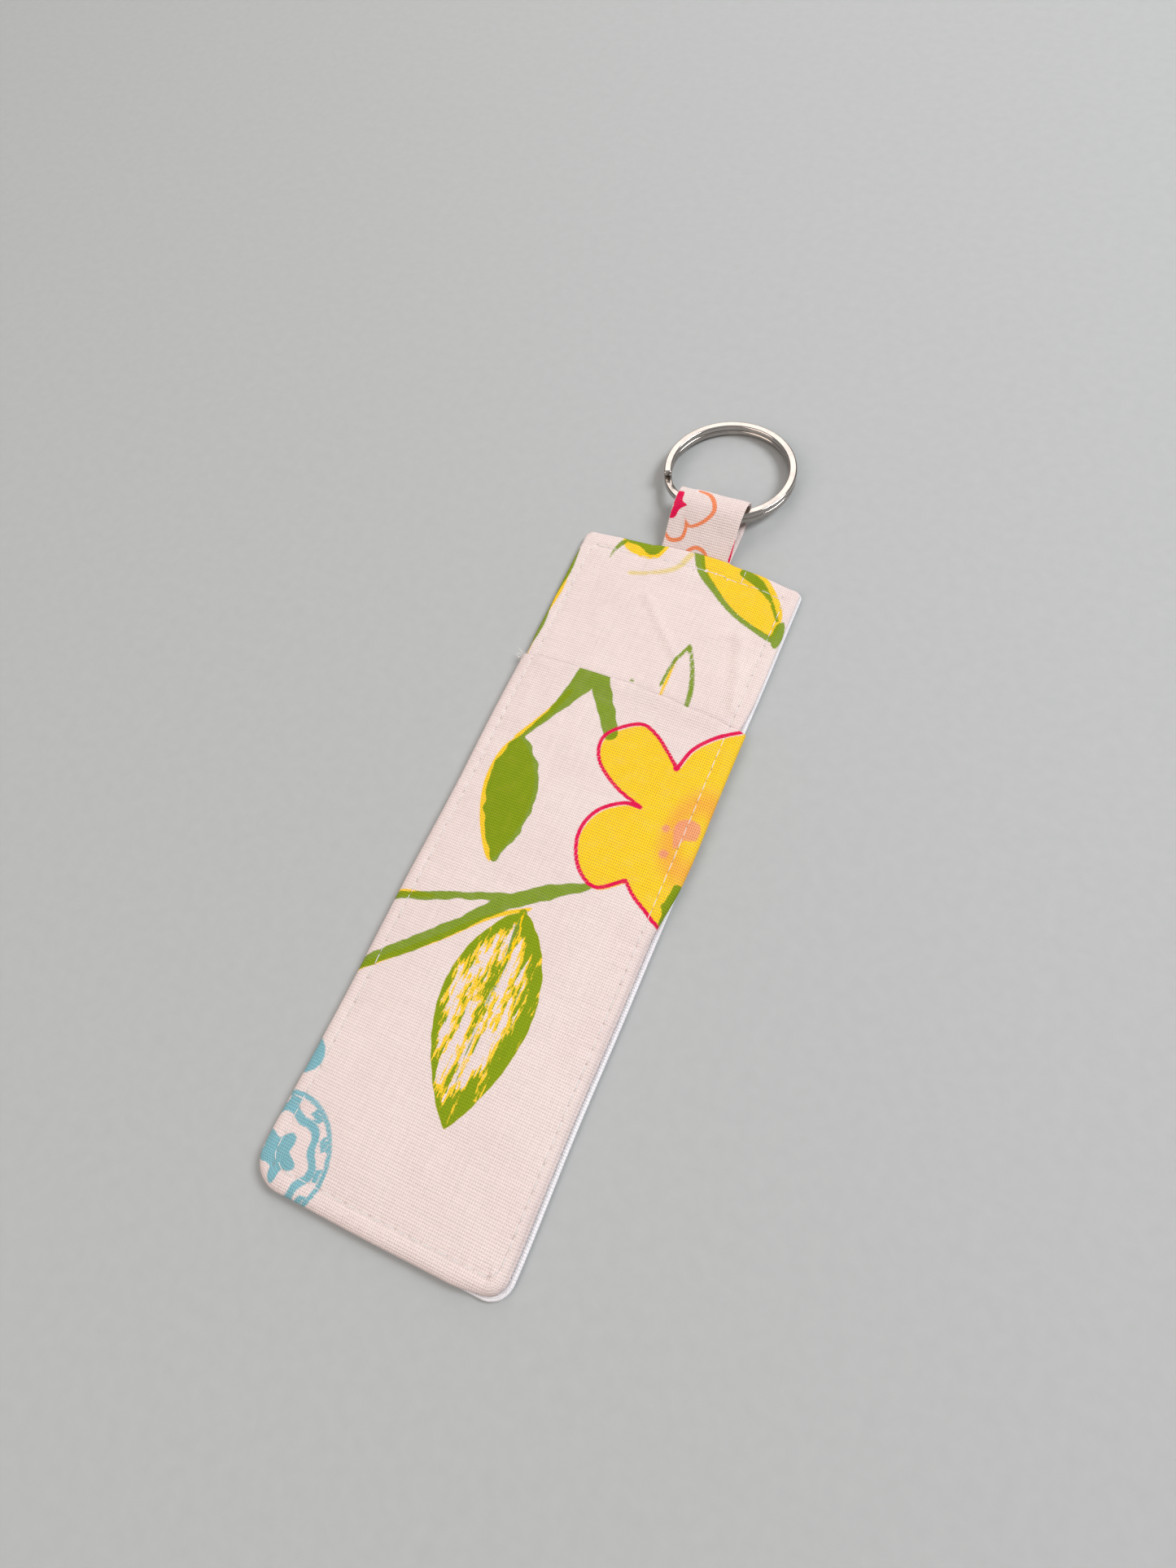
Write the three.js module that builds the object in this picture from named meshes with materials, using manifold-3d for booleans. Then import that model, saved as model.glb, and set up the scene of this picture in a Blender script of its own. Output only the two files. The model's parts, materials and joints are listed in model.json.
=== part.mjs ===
// A keychain pocket: a flat sewn cotton sleeve with a slip pocket on its face, a folded cotton loop
// caught in its top seam, and a double-wound split ring through the loop.
// Millimetres, +Z up, +Y towards the ring. The origin is under the middle of the whole object.
import * as THREE from "three";
import { mergeVertices } from "three/addons/utils/BufferGeometryUtils.js";
import Module from "manifold-3d";

const wasm = await Module();
wasm.setup();

// ---- sleeve ----
const bodyWidth = 50.8;
const bodyLength = 150;
const bottomCornerRadius = 4;
const topCornerRadius = 2;
const smallestRadius = 0.4; // what is left of a corner drawn in by more than its own radius
const cornerSteps = 4;
const clothThickness = 0.3; // cotton with its fused backing
const pocketThickness = 0.45; // two layers of cotton, folded at the mouth
const layerGap = 0.3; // between cloths that lie on each other
const seamAllowance = 6.35; // cloth turned inwards past the seam
const rimRoll = 0.42; // the small roll where a rim turns in to the seam
const rimSteps = 3;
const rollSteps = 2;
const pocketMouthLeft = 114.3; // from the bottom edge, at the left side
const pocketMouthRight = 112.4;

// ---- threads ----
const topstitchInset = 3.3; // from the outline
const topstitchHalfValley = 1; // half width of the valley that the stitches draw in
const topstitchDiameter = 0.2;
const seamThreadDiameter = 0.16;
const seamThreadInset = 0.84; // from the front panel's rim
const threadClearance = 0.05;
const mouthLead = 0.6; // how far past the pocket's mouth the thread stays high
const mouthDrop = 1.8; // length of its step down to the front panel
const cutMargin = 4; // how far a cutting box reaches past what it cuts

// ---- interlining ----
const interliningGap = 0.5; // to the edges of the turned-in cloth
const interliningEdge = 0.2; // its softened edge

// ---- loop tab ----
const tabWidth = 16;
const tabOffset = -0.2; // to the side of the sleeve's middle
const tabLength = 14.4; // hinge line to fold
const legThickness = 0.75; // four layers of cotton
const tabSideClearance = 0.4; // in the notch of the turned-in cloth
const tabSeamClearance = 0.35; // from the sleeve's top edge to the loop
const tailEndClearance = 0.1; // from the tails' ends to the sleeve's top edge
const neckSlack = 0.05; // the neck's radius over the thickness of one leg
const innerStart = 0.1; // half the gap between the legs where they part
const lobeSteps = 7;
const noseSteps = 6;
// Handles of the loop's curves, as parts of the span they cross.
const riseStart = 0.45;
const riseEnd = 0.5;
const fallStart = 0.75;
const fallHeight = 0.7;

// ---- split ring ----
const ringOuterDiameter = 30;
const wireWidth = 1.8; // across the ring
const coilHeight = 1.3; // along the ring's axis
const coilGap = 0.06; // between the two coils
const wireEdgeRadius = 0.4;
const jogHalfAngle = 18; // degrees; the wire steps from coil to coil across twice this
const ringSteps = 70;
const ringOffset = -0.6; // to the side of the sleeve's middle
const ringLoopClearance = 0.25; // between the swinging wire and the loop's legs
const restGap = 0.02; // between the ring's far side and the table
const foldClearance = 0.6; // from the swinging wire to the inside of the fold

// ---- levels, from the table up ----
const stitchDepth = topstitchDiameter + 2 * threadClearance;
const foldGap = stitchDepth + threadClearance;
const seamGap = seamThreadDiameter + 2 * threadClearance;
const backSeamZ = 2 * clothThickness + foldGap;
const frontSeamZ = backSeamZ + seamGap;
const frontFaceZ = frontSeamZ + 2 * clothThickness + foldGap;
const pocketFaceZ = frontFaceZ + layerGap + pocketThickness;
const seamMiddleZ = (backSeamZ + frontSeamZ) / 2;
const squeezeGap = stitchDepth + threadClearance; // from a panel's inner face to the squeezed tails

const mouthSlope = (pocketMouthRight - pocketMouthLeft) / bodyWidth;
const mouthAt = (x) => pocketMouthLeft + mouthSlope * (x + bodyWidth / 2);

const printedCotton = { color: 0xe9ddd9, roughness: 0.9, metalness: 0 };
const pocketCotton = { color: 0xe3c23a, roughness: 0.9, metalness: 0 };
const plainCotton = { color: 0xe6e9f0, roughness: 0.9, metalness: 0 };
const fleece = { color: 0xf2efe8, roughness: 1, metalness: 0 };
const thread = { color: 0xf4f0ea, roughness: 0.6, metalness: 0 };
const tabCotton = { color: 0xeec9bd, roughness: 0.9, metalness: 0 };
const nickel = { color: 0xc9c9c6, roughness: 0.2, metalness: 1 };

function piece(name, geometry, look) {
  const mesh = new THREE.Mesh(geometry, new THREE.MeshStandardMaterial(look));
  mesh.name = name;
  return mesh;
}

// ---- booleans ----
function solidOf(geometry) {
  const bare = geometry.clone().deleteAttribute("normal").deleteAttribute("uv");
  const merged = mergeVertices(bare);
  return new wasm.Manifold(
    new wasm.Mesh({
      numProp: 3,
      vertProperties: new Float32Array(merged.attributes.position.array),
      triVerts: new Uint32Array(merged.index.array),
    }),
  );
}

function cut(geometry, tool) {
  const mesh = solidOf(geometry).subtract(solidOf(tool)).getMesh();
  const result = new THREE.BufferGeometry();
  result.setAttribute("position", new THREE.BufferAttribute(mesh.vertProperties, mesh.numProp));
  result.setIndex(new THREE.BufferAttribute(mesh.triVerts, 1));
  result.computeVertexNormals();
  return result;
}

function boxBetween(low, high) {
  const size = high.map((value, axis) => value - low[axis]);
  const middle = high.map((value, axis) => (value + low[axis]) / 2);
  return new THREE.BoxGeometry(...size).translate(...middle);
}

// ---- shells whose section follows a rounded rectangle ----
function outlineInsetBy(inset) {
  return {
    left: -bodyWidth / 2 + inset,
    right: bodyWidth / 2 - inset,
    bottom: inset,
    top: bodyLength - inset,
    bottomRadius: bottomCornerRadius - inset,
    topRadius: topCornerRadius - inset,
  };
}

// The outline drawn in by `inset`, anticlockwise from above. The long sides have extra points at `stops`,
// which are measured from the pocket's mouth.
function outlineRing(outline, inset, heightAt, stops = []) {
  const points = [];
  const corner = (x, y, inwardX, inwardY, fullRadius, startAngle) => {
    const radius = Math.max(fullRadius - inset, smallestRadius);
    const centreX = x + inwardX * (inset + radius);
    const centreY = y + inwardY * (inset + radius);
    for (let step = 0; step <= cornerSteps; step++) {
      const angle = startAngle + ((Math.PI / 2) * step) / cornerSteps;
      points.push([centreX + radius * Math.cos(angle), centreY + radius * Math.sin(angle)]);
    }
  };
  const { left, right, bottom, top, bottomRadius, topRadius } = outline;
  corner(right, bottom, -1, 1, bottomRadius, -Math.PI / 2);
  stops.forEach((stop) => points.push([right - inset, mouthAt(right - inset) + stop]));
  corner(right, top, -1, -1, topRadius, 0);
  corner(left, top, 1, -1, topRadius, Math.PI / 2);
  stops.toReversed().forEach((stop) => points.push([left + inset, mouthAt(left + inset) + stop]));
  corner(left, bottom, 1, 1, bottomRadius, Math.PI);
  return points.map(([x, y]) => [x, y, heightAt(x, y)]);
}

// Joins rings of points into one closed surface: capped at both ends, or closed on itself like a tyre.
function ringShell(rings, closedOnItself) {
  const count = rings[0].length;
  const index = [];
  const strips = closedOnItself ? rings.length : rings.length - 1;
  for (let strip = 0; strip < strips; strip++) {
    const here = strip * count;
    const next = ((strip + 1) % rings.length) * count;
    for (let i = 0; i < count; i++) {
      const j = (i + 1) % count;
      index.push(here + i, next + i, next + j, here + i, next + j, here + j);
    }
  }
  if (!closedOnItself) {
    const last = (rings.length - 1) * count;
    for (let i = 1; i < count - 1; i++) index.push(0, i, i + 1, last, last + i + 1, last + i);
  }
  const geometry = new THREE.BufferGeometry();
  geometry.setAttribute("position", new THREE.Float32BufferAttribute(rings.flat(2), 3));
  geometry.setIndex(index);
  geometry.computeVertexNormals();
  return geometry;
}

// A face with its stitched valley, its rolled rim, and the allowance that turns in along the seam.
function panel(inset, { faceZ, seamZ, thickness, allowance }) {
  const side = Math.sign(faceZ - seamZ);
  const valleyMiddle = topstitchInset - inset;
  const rimReach = valleyMiddle - topstitchHalfValley;
  const rimZ = seamZ + side * rimRoll;
  const rimHeight = Math.abs(faceZ - rimZ);
  const valley = (z) => [
    [valleyMiddle + topstitchHalfValley, z],
    [valleyMiddle, z - side * stitchDepth],
    [rimReach, z],
  ];
  const section = valley(faceZ);
  for (let step = 1; step <= rimSteps; step++) {
    const angle = (Math.PI / 2) * (1 - step / rimSteps);
    section.push([rimReach * (1 - Math.cos(angle)), rimZ + side * rimHeight * Math.sin(angle)]);
  }
  for (let step = 1; step <= rollSteps; step++) {
    const angle = ((Math.PI / 2) * step) / rollSteps;
    section.push([rimRoll * (1 - Math.cos(angle)), rimZ - side * rimRoll * Math.sin(angle)]);
  }
  if (allowance) {
    section.push([allowance, seamZ], [allowance, seamZ + side * thickness]);
    section.push([rimRoll + thickness, seamZ + side * thickness]);
  } else {
    section.push([thickness + rimRoll / 2, seamZ]);
  }
  const inner = [];
  for (let step = 0; step < rimSteps; step++) {
    const angle = ((Math.PI / 2) * step) / rimSteps;
    const across = (rimReach - thickness) * Math.cos(angle);
    inner.push([rimReach - across, rimZ + side * (rimHeight - thickness) * Math.sin(angle)]);
  }
  section.push(...inner, ...valley(faceZ - side * thickness).reverse());
  if (side < 0) section.reverse();
  const outline = outlineInsetBy(inset);
  return ringShell(
    section.map(([distance, z]) => outlineRing(outline, distance, () => z)),
    false,
  );
}

// A thread all the way round, as a six-sided loop whose middle is at heightAt.
function threadLoop(inset, diameter, heightAt, stops) {
  const outline = outlineInsetBy(0);
  const rings = [];
  for (let side = 0; side < 6; side++) {
    const angle = (Math.PI * side) / 3;
    const raise = (diameter / 2) * Math.sin(angle);
    const draw = inset + (diameter / 2) * Math.cos(angle);
    rings.push(outlineRing(outline, draw, (x, y) => heightAt(x, y) + raise, stops));
  }
  return ringShell(rings, true);
}

// ---- the sleeve's pieces ----
const frontInset = pocketThickness + layerGap; // the pocket wraps round the front panel's rim
const tabNotch = boxBetween(
  [
    tabOffset - tabWidth / 2 - tabSideClearance,
    bodyLength - seamAllowance - frontInset - interliningGap,
    clothThickness + foldGap - threadClearance,
  ],
  [
    tabOffset + tabWidth / 2 + tabSideClearance,
    bodyLength + cutMargin,
    frontFaceZ - clothThickness - foldGap + threadClearance,
  ],
);

function backPanel() {
  const shape = { faceZ: 0, seamZ: backSeamZ, thickness: clothThickness, allowance: seamAllowance };
  return piece("back_panel", cut(panel(0, shape), tabNotch), plainCotton);
}

function frontPanel() {
  const allowance = seamAllowance - frontInset;
  const shape = { faceZ: frontFaceZ, seamZ: frontSeamZ, thickness: clothThickness, allowance };
  return piece("front_panel", cut(panel(frontInset, shape), tabNotch), printedCotton);
}

function pocketPanel() {
  const shape = { faceZ: pocketFaceZ, seamZ: frontSeamZ, thickness: pocketThickness, allowance: 0 };
  const aboveMouth = boxBetween(
    [-bodyWidth, 0, -cutMargin],
    [bodyWidth, bodyLength, pocketFaceZ + cutMargin],
  );
  aboveMouth.rotateZ(Math.atan(mouthSlope)).translate(0, mouthAt(0), 0);
  return piece("pocket_panel", cut(panel(0, shape), aboveMouth), pocketCotton);
}

function interlining() {
  const inset = seamAllowance + interliningGap;
  const low = clothThickness + layerGap;
  const high = frontFaceZ - clothThickness - layerGap;
  const level = (draw, z) => outlineRing(outlineInsetBy(0), inset + draw, () => z);
  const edge = interliningEdge;
  const rings = [level(edge, high), level(0, high - edge), level(0, low + edge), level(edge, low)];
  return piece("interlining", ringShell(rings, false), fleece);
}

function tabTails() {
  const low = clothThickness + squeezeGap;
  const high = frontFaceZ - clothThickness - squeezeGap;
  const end = bodyLength - tailEndClearance;
  const shape = boxBetween(
    [tabOffset - tabWidth / 2, bodyLength - seamAllowance, low],
    [tabOffset + tabWidth / 2, end, high],
  );
  return piece("tab_tails", shape, tabCotton);
}

function topstitchThread() {
  const lift = threadClearance + topstitchDiameter / 2 - stitchDepth;
  const heightAt = (x, y) => {
    const past = (y - mouthAt(x) - mouthLead) / mouthDrop;
    const down = Math.min(Math.max(past, 0), 1);
    return pocketFaceZ + lift - down * (pocketFaceZ - frontFaceZ);
  };
  const stops = [mouthLead, mouthLead + mouthDrop];
  return piece("topstitch_thread", threadLoop(topstitchInset, topstitchDiameter, heightAt, stops), thread);
}

function bobbinThread() {
  const z = threadClearance + topstitchDiameter / 2;
  return piece("bobbin_thread", threadLoop(topstitchInset, topstitchDiameter, () => z), thread);
}

// The seam's thread runs down one side, across the bottom and up the other; the top is the turning gap.
function seamThread() {
  const loop = threadLoop(frontInset + seamThreadInset, seamThreadDiameter, () => seamMiddleZ);
  const topGap = boxBetween(
    [-bodyWidth, bodyLength - seamAllowance, -cutMargin],
    [bodyWidth, bodyLength + cutMargin, frontSeamZ + cutMargin],
  );
  return piece("seam_thread", cut(loop, topGap), thread);
}

// ---- the loop tab, drawn along its own length and turned up to the ring ----
const neckRadius = legThickness + neckSlack;
const hingeY = bodyLength + tabSeamClearance + neckRadius;

const ringMeanRadius = (ringOuterDiameter - wireWidth) / 2;
const wireStack = 2 * coilHeight + coilGap;
// Inside the loop the wire bends away by its arc's sagitta, so it swings about the arc's middle.
const reachInLoop = tabWidth / 2 + Math.abs(tabOffset - ringOffset);
const arcHeight = ringMeanRadius - Math.sqrt(ringMeanRadius ** 2 - reachInLoop ** 2);
const swingRadius =
  Math.hypot(arcHeight / 2 + wireWidth / 2 - wireEdgeRadius, wireStack / 2 - wireEdgeRadius) +
  wireEdgeRadius;
const loopHalfHeight = swingRadius + ringLoopClearance;
const pivotAlongTab = tabLength - legThickness - swingRadius - foldClearance;

// The upper half of one side of the loop's section: from `start` up over the wire and down to the fold.
function lobe(start, startHeight, peak, end) {
  const point = (x, y) => new THREE.Vector2(x, y);
  const span = pivotAlongTab - start.x;
  const rise = new THREE.CubicBezierCurve(
    start,
    point(start.x + riseStart * span, startHeight),
    point(start.x + riseEnd * span, peak),
    point(pivotAlongTab, peak),
  );
  const rest = end - pivotAlongTab;
  const fall = new THREE.CubicBezierCurve(
    point(pivotAlongTab, peak),
    point(pivotAlongTab + fallStart * rest, peak),
    point(end, fallHeight * peak),
    point(end, 0),
  );
  return [...rise.getPoints(lobeSteps), ...fall.getPoints(lobeSteps).slice(1)];
}

const mirrored = (points) => points.toReversed().map((p) => new THREE.Vector2(p.x, -p.y));
const loopOutside = lobe(
  new THREE.Vector2(0, neckRadius),
  neckRadius,
  loopHalfHeight + legThickness,
  tabLength,
);
const loopInside = lobe(
  new THREE.Vector2(2 * neckRadius, 0),
  innerStart,
  loopHalfHeight,
  tabLength - legThickness,
);
// The loop rises from its hinge just enough for its underside to touch the table.
const riseFor = ({ x, y }) => Math.atan2(y, x) - Math.asin(Math.min(seamMiddleZ / Math.hypot(x, y), 1));
const tabRise = Math.max(...loopOutside.map(riseFor));
const pivotZ = seamMiddleZ + pivotAlongTab * Math.sin(tabRise);

function tabLoop() {
  const nose = [];
  for (let step = 1; step < noseSteps; step++) {
    const angle = (-Math.PI * step) / noseSteps;
    nose.push(new THREE.Vector2(neckRadius * Math.sin(angle), -neckRadius * Math.cos(angle)));
  }
  const section = new THREE.Shape([...loopOutside, ...mirrored(loopOutside).slice(1), ...nose]);
  const hole = [...loopInside, ...mirrored(loopInside).slice(1, -1)];
  section.holes.push(new THREE.Path(hole.toReversed()));
  const loop = new THREE.ExtrudeGeometry(section, { depth: tabWidth, bevelEnabled: false });
  loop.translate(0, 0, -tabWidth / 2);
  // The section's x runs along +Y and its y along +Z, so the extrusion runs along +X.
  loop.applyMatrix4(new THREE.Matrix4().set(0, 0, 1, 0, 1, 0, 0, 0, 0, 1, 0, 0, 0, 0, 0, 1));
  return piece("tab_loop", loop, tabCotton);
}

// ---- the split ring, wound about its own Z axis with its jog inside the loop ----
class WireLine extends THREE.Curve {
  getPoint(t, target = new THREE.Vector3()) {
    const turn = 360 - 2 * jogHalfAngle; // one flat coil
    const degrees = t * (2 * turn + 2 * jogHalfAngle);
    const climb = THREE.MathUtils.smoothstep(degrees, turn, turn + 2 * jogHalfAngle);
    const angle = THREE.MathUtils.degToRad(degrees + jogHalfAngle - 90);
    const z = (climb - 0.5) * (coilHeight + coilGap);
    return target.set(ringMeanRadius * Math.cos(angle), ringMeanRadius * Math.sin(angle), z);
  }
}

function splitRing() {
  const along = coilHeight / 2;
  const across = wireWidth / 2;
  const bevel = wireEdgeRadius;
  const section = new THREE.Shape();
  section.moveTo(-along + bevel, -across).lineTo(along - bevel, -across).lineTo(along, -across + bevel);
  section.lineTo(along, across - bevel).lineTo(along - bevel, across).lineTo(-along + bevel, across);
  section.lineTo(-along, across - bevel).lineTo(-along, -across + bevel);
  const path = new WireLine();
  const wire = new THREE.ExtrudeGeometry(section, { steps: ringSteps, extrudePath: path });
  return piece("split_ring", wire, nickel);
}

// ---- assembly ----
const sleeve = new THREE.Group();
sleeve.add(backPanel(), frontPanel(), pocketPanel(), interlining(), tabTails());
sleeve.add(topstitchThread(), bobbinThread(), seamThread());

const tab = new THREE.Group();
tab.position.set(tabOffset, hingeY, seamMiddleZ);
tab.rotation.x = tabRise;
tab.add(tabLoop());

// The ring leans down from the loop until its far side meets the table.
const pivotToCentre = ringMeanRadius - arcHeight / 2;
const farReach = pivotToCentre + ringMeanRadius + wireWidth / 2;
const ringLean = Math.asin((pivotZ - restGap - wireStack / 2) / farReach);
const ring = new THREE.Group();
ring.position.set(ringOffset, hingeY + pivotAlongTab * Math.cos(tabRise), pivotZ);
ring.rotation.x = -ringLean;
const wire = splitRing();
wire.position.y = pivotToCentre;
ring.add(wire);

const keychain = new THREE.Group();
keychain.add(sleeve, tab, ring);
const extent = new THREE.Box3().setFromObject(keychain, true);
keychain.position.set(0, -(extent.min.y + extent.max.y) / 2, -extent.min.z);

export default keychain;
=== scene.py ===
"""Looks of a keychain pocket: a flat sewn cotton sleeve with a slip pocket, a folded loop and a split ring.

Lengths are in millimetres until a mesh is made, with +Y towards the ring and +Z up out of the pocket's face.
On the sleeve, x is from its middle and y from its closed bottom edge. Flat cloth coordinates (u, v) run on
round the rims, so the weave and the print go with the cloth. No cloth simulation is used.
"""
import json
import math

import bpy
import numpy as np
from mathutils import Matrix, Vector


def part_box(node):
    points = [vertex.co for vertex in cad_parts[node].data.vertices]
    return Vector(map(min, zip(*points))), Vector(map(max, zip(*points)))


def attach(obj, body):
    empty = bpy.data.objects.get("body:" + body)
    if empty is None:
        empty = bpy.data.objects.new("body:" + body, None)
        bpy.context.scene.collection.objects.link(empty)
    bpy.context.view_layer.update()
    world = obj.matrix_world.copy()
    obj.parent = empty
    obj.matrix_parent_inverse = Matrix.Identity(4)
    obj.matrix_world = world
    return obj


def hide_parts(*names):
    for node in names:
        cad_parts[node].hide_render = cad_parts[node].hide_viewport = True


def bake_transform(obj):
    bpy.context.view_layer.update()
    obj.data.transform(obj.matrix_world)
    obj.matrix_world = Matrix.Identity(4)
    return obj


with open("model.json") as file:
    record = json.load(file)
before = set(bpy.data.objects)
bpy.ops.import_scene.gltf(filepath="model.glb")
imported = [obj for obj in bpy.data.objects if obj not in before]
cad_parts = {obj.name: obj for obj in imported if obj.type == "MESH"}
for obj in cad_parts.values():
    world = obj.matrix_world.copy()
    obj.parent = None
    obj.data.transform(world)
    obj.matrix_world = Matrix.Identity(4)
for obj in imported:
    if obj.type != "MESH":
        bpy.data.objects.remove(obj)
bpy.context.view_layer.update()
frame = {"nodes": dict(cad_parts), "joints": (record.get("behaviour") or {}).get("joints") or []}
MM = 0.001

# ---- camera, solved from the ring's ellipse and the sleeve's corners ----
AZIMUTH, ELEVATION, ROLL = (math.radians(a) for a in (40.1, 64.7, -17.7))
EYE = Vector((54.3, -67.14, 179.1)) * MM
FOCAL_PIXELS, IMAGE_HEIGHT, SENSOR = 1200, 1927, 36

forward = -Vector((
    math.cos(ELEVATION) * math.sin(AZIMUTH),
    -math.cos(ELEVATION) * math.cos(AZIMUTH),
    math.sin(ELEVATION),
))
level = forward.cross(Vector((0, 0, 1))).normalized()
upright = level.cross(forward)
across = math.cos(ROLL) * level + math.sin(ROLL) * upright
upward = -math.sin(ROLL) * level + math.cos(ROLL) * upright
camera = bpy.data.objects.new("camera", bpy.data.cameras.new("camera"))
camera.data.lens = FOCAL_PIXELS * SENSOR / IMAGE_HEIGHT
camera.data.sensor_width = SENSOR
camera.data.clip_start = 0.01
turn = Matrix((across, upward, -forward)).transposed().to_4x4()
camera.matrix_world = Matrix.Translation(EYE) @ turn
bpy.context.scene.collection.objects.link(camera)
bpy.context.scene.camera = camera

# ---- sizes: the CAD's, but for the top corners, which the photo shows sharper than its 2.4 ----
HALF_WIDTH, LENGTH = 25.4, 150.0
MIDDLE = LENGTH / 2
CORNER_BOTTOM_LEFT, CORNER_BOTTOM_RIGHT, CORNER_TOP = 6.0, 4.2, 1.7
SEAM_Z, FRONT_Z, POCKET_Z = 1.08, 2.16, 2.91
SEAM_GAP = 0.04  # the front's and the back's rims each stand this far off the seam
ALLOWANCE = 6.35
MOUTH_LEFT, MOUTH_RIGHT = 114.3, 112.4
MOUTH_SAG, MOUTH_SKEW = 0.9, 60
CLOTH, POCKET_CLOTH, TAB_CLOTH = 0.3, 0.2, 0.165
STITCH_PITCH, STITCH_RADIUS = 2.55, 0.09
INSET_LEFT, INSET_RIGHT, INSET_BOTTOM, INSET_TOP = 2.7, 3.1, 3.7, 3.8
STITCH_CORNER, STITCH_WANDER = 1.2, 0.18
TAB_WIDTH, TAB_MIDDLE = 16.0, -0.2
TAB_RISE = math.radians(14.85)
RING_RADIUS, WIRE_ACROSS, WIRE_ALONG, COIL_STEP = 14.1, 1.8, 1.3, 1.36
FAR = 9.0  # a distance that leaves no ink

sleeve_low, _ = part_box("back_panel")
SLEEVE = np.array([0, sleeve_low.y / MM, 0])  # the sleeve's bottom edge in the row's frame
joints = {j["name"]: j for j in frame["joints"]}
hinge = Vector(joints["tab_flex"]["pos_m"]) / MM
pivot = Vector(joints["ring_swing"]["pos_m"]) / MM


# ---- curves and signed distances ----
def smooth(value, low, high):
    t = np.clip((value - low) / (high - low), 0, 1)
    return t * t * (3 - 2 * t)


def waves(x, y, size, seed, count=7):
    """Smooth random height, about -1 to 1, with features of about `size`."""
    rng = np.random.default_rng(seed)
    total = 0
    for _ in range(count):
        angle, phase = rng.uniform(0, 2 * np.pi, 2)
        k = 2 * np.pi / (size * rng.uniform(0.8, 2.2))
        total = total + np.sin(k * (x * np.cos(angle) + y * np.sin(angle)) + phase)
    return total / math.sqrt(count)


def unit(vectors):
    return vectors / np.maximum(np.linalg.norm(vectors, axis=-1, keepdims=True), 1e-9)


def turned(y, z, angle):
    """Turned about the X axis."""
    return y * math.cos(angle) - z * math.sin(angle), y * math.sin(angle) + z * math.cos(angle)


def lengths(line):
    """How far along a line each of its points is."""
    return np.concatenate([[0], np.cumsum(np.linalg.norm(np.diff(line, axis=0), axis=1))])


def flat_points(x, y):
    return np.stack([np.ravel(x), np.ravel(y)], -1)


def mouth_at(x):
    """The pocket mouth's height: a slanted line that sags a little in its middle."""
    line = MOUTH_LEFT + (MOUTH_RIGHT - MOUTH_LEFT) * (x + HALF_WIDTH) / (2 * HALF_WIDTH)
    sag = np.cos(np.clip(x / HALF_WIDTH, -1, 1) * np.pi / 2) * np.clip(1 - x / MOUTH_SKEW, 0, 2)
    return line + MOUTH_SAG * sag


def spline(points, closed=True, steps=10):
    """A smooth line through the points; a point given as (x, y, 1) stays a sharp corner."""
    rows = [np.array(p[:2]) for p in points]
    sharp = [len(p) > 2 for p in points]
    n = len(rows)
    line = []
    for i in range(n if closed else n - 1):
        j = (i + 1) % n
        p1, p2 = rows[i], rows[j]
        p0 = rows[i - 1] if (closed or i > 0) and not sharp[i] else 2 * p1 - p2
        p3 = rows[(j + 1) % n] if (closed or j < n - 1) and not sharp[j] else 2 * p2 - p1
        for t in np.arange(steps) / steps:
            line.append(0.5 * (2 * p1 + (p2 - p0) * t + (2 * p0 - 5 * p1 + 4 * p2 - p3) * t * t
                               + (3 * p1 - p0 - 3 * p2 + p3) * t ** 3))
    return np.array(line if closed else [*line, rows[-1]])


def to_line(points, line):
    """Distance of each point to an open line, and how far along the line the nearest place is."""
    run = np.diff(line, axis=0)
    best, where = np.full(len(points), np.inf), np.zeros(len(points))
    for a, d, size, far in zip(line[:-1], run, np.linalg.norm(run, axis=1), lengths(line)):
        t = np.clip(((points - a) @ d) / max(size * size, 1e-12), 0, 1)
        gap = np.linalg.norm(points - a - t[:, None] * d, axis=1)
        near = gap < best
        best[near], where[near] = gap[near], far + t[near] * size
    return best, where


def inside(points, outline):
    """Signed distance to a closed outline, negative inside."""
    gap, _ = to_line(points, np.vstack([outline, outline[:1]]))
    x, y = points.T
    within = np.zeros(len(points), bool)
    for (x1, y1), (x2, y2) in zip(outline, np.roll(outline, -1, axis=0)):
        if y1 != y2:
            crosses = (y1 > y) != (y2 > y)
            within ^= crosses & (x < (x2 - x1) * (y - y1) / (y2 - y1) + x1)
    return np.where(within, -gap, gap)


def stroke(points, line, widths):
    """Signed distance to a line whose width changes along it."""
    gap, where = to_line(points, line)
    return gap - np.interp(where / lengths(line)[-1], np.linspace(0, 1, len(widths)), widths) / 2


def brush(points, line, widths):
    """As `stroke`, along a smooth line through the given points."""
    return stroke(points, spline(line, closed=False), widths)


def blob(points, outline):
    return inside(points, spline(outline))


def dot(points, x, y, radius):
    return np.hypot(points[:, 0] - x, points[:, 1] - y) - radius


def nearest(*distances):
    return np.minimum.reduce(distances)


# ---- meshes ----
def grid_faces(rows, columns, around=False, offset=0, flip=False):
    """Quads of a grid of rows x columns vertices; `around` joins the last column to the first."""
    r = np.arange(rows - 1)[:, None]
    c = np.arange(columns if around else columns - 1)[None]
    nxt = (c + 1) % columns
    here, above = r * columns, (r + 1) * columns
    quads = np.stack([here + c, here + nxt, above + nxt, above + c], -1).reshape(-1, 4) + offset
    return quads[:, ::-1] if flip else quads


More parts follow.
